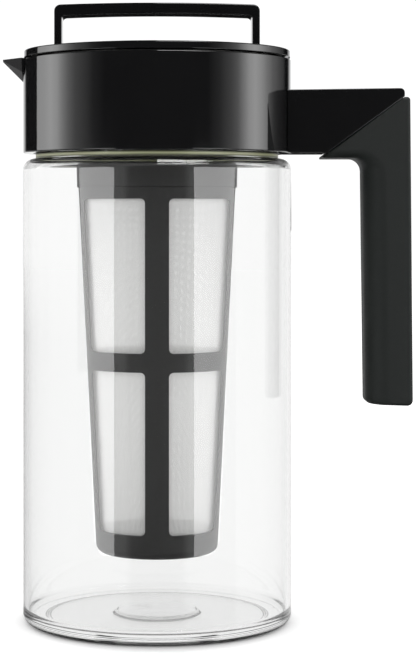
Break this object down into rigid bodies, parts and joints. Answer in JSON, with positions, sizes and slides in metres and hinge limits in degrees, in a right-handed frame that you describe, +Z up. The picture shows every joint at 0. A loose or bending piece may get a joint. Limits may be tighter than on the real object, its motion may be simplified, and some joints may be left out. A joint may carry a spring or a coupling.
{
  "type": "cold brew coffee maker",
  "caption": "Clear cylindrical pitcher with a black screw-on pouring collar, side handle, plug lid with a carrying loop, and a tapered mesh infuser screwed into the lid.",
  "frame": {"origin": "centre of the pitcher's underside, on its upright axis, at the level that it stands on", "axes": "+Z up along the pitcher's axis, +X towards the handle, -X towards the spout"},
  "size_m": [0.1758, 0.116, 0.2665],
  "materials": {
    "clear_plastic": "clear moulded copolyester, polished",
    "gloss_black": "high gloss moulded",
    "satin_black": "satin moulded",
    "soft_black": "matte soft-touch",
    "smoke_plastic": "satin moulded, very dark grey",
    "pale_silicone": "translucent silicone",
    "olive_silicone": "satin silicone",
    "white_mesh": "fine woven nylon mesh",
    "screw_steel": "plain"
  },
  "bodies": {
    "pitcher": {"pitcher_body": "clear_plastic", "shoulder_seal": "olive_silicone"},
    "collar_seal": {"neck_gasket": "pale_silicone"},
    "collar": {"collar_shell": "gloss_black", "collar_liner": "satin_black", "arm_cover": "gloss_black", "grip": "soft_black", "handle_core": "satin_black", "handle_screw_upper": "screw_steel", "handle_screw_lower": "screw_steel"},
    "lid_seal": {"plug_oring_upper": "pale_silicone", "plug_oring_lower": "pale_silicone", "lid_gasket": "pale_silicone"},
    "lid": {"lid_cap": "gloss_black", "lid_loop": "gloss_black", "lid_plug": "satin_black"},
    "infuser_seal": {"infuser_gasket": "pale_silicone"},
    "infuser": {"infuser_ring": "smoke_plastic", "infuser_frame": "smoke_plastic", "infuser_mesh": "white_mesh"}
  },
  "joints": [
    {"name": "collar_rise", "type": "slide", "parent": "pitcher", "child": "collar_seal", "axis": [0, 0, 1], "range_m": [0, 0.0076]},
    {"name": "collar_turn", "type": "hinge", "parent": "collar_seal", "child": "collar", "pos_m": [0, 0, 0.21], "axis": [0, 0, 1], "range_deg": [0, 540]},
    {"name": "lid_lift", "type": "slide", "parent": "collar", "child": "lid_seal", "axis": [0, 0, 1], "range_m": [0, 0.22]},
    {"name": "lid_turn", "type": "hinge", "parent": "lid_seal", "child": "lid", "pos_m": [0, 0, 0.235], "axis": [0, 0, 1], "range_deg": [0, 90]},
    {"name": "infuser_drop", "type": "slide", "parent": "lid", "child": "infuser_seal", "axis": [0, 0, -1], "range_m": [0, 0.0061]},
    {"name": "infuser_turn", "type": "hinge", "parent": "infuser_seal", "child": "infuser", "pos_m": [0, 0, 0.205], "axis": [0, 0, -1], "range_deg": [0, 540]}
  ],
  "couplings": [
    {"joint": "collar_rise", "follows": "collar_turn", "m_per_rad": 0.00079577},
    {"joint": "infuser_drop", "follows": "infuser_turn", "m_per_rad": 0.00063662}
  ]
}
